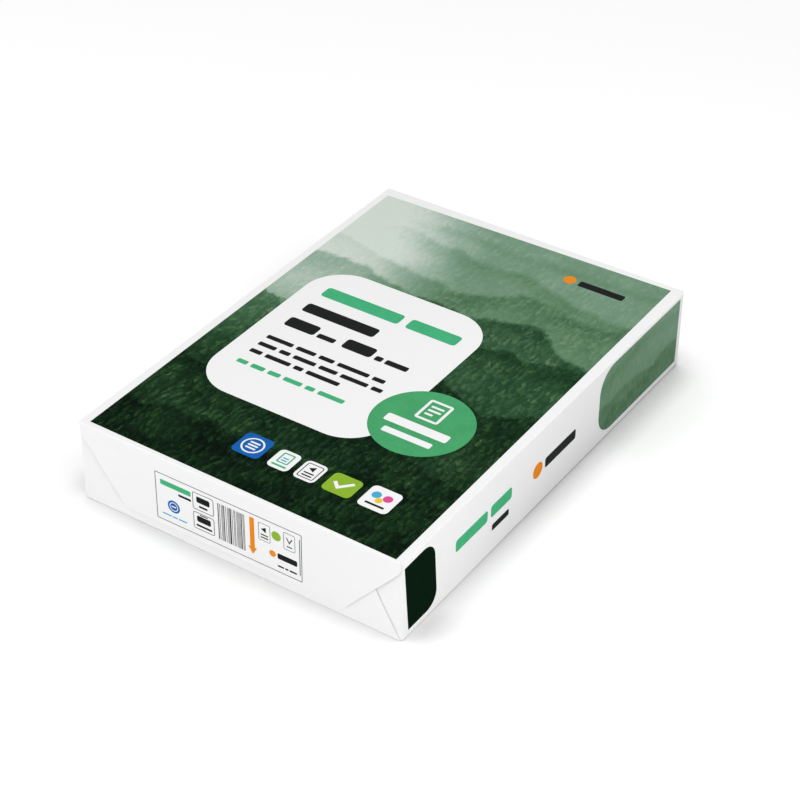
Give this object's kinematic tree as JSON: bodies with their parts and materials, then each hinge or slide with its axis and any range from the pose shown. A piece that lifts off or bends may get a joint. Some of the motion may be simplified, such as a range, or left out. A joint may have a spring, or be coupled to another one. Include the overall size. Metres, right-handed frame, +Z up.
{
  "type": "wrapped ream of paper",
  "caption": "Rectangular ream of office paper in a glued printed wrapper, with folded end flaps and a lap seam underneath; it lies flat on its broad face.",
  "frame": {"origin": "middle of the broad face that the ream rests on, under the middle of its box", "axes": "+X across the short side of the sheets, +Y along their long side away from the end with the data label, +Z up through the stack"},
  "size_m": [0.2102, 0.2988, 0.0519],
  "materials": {
    "printed_wrapper": "satin"
  },
  "bodies": {
    "root": {"wrapped_ream": "printed_wrapper"}
  },
  "joints": []
}
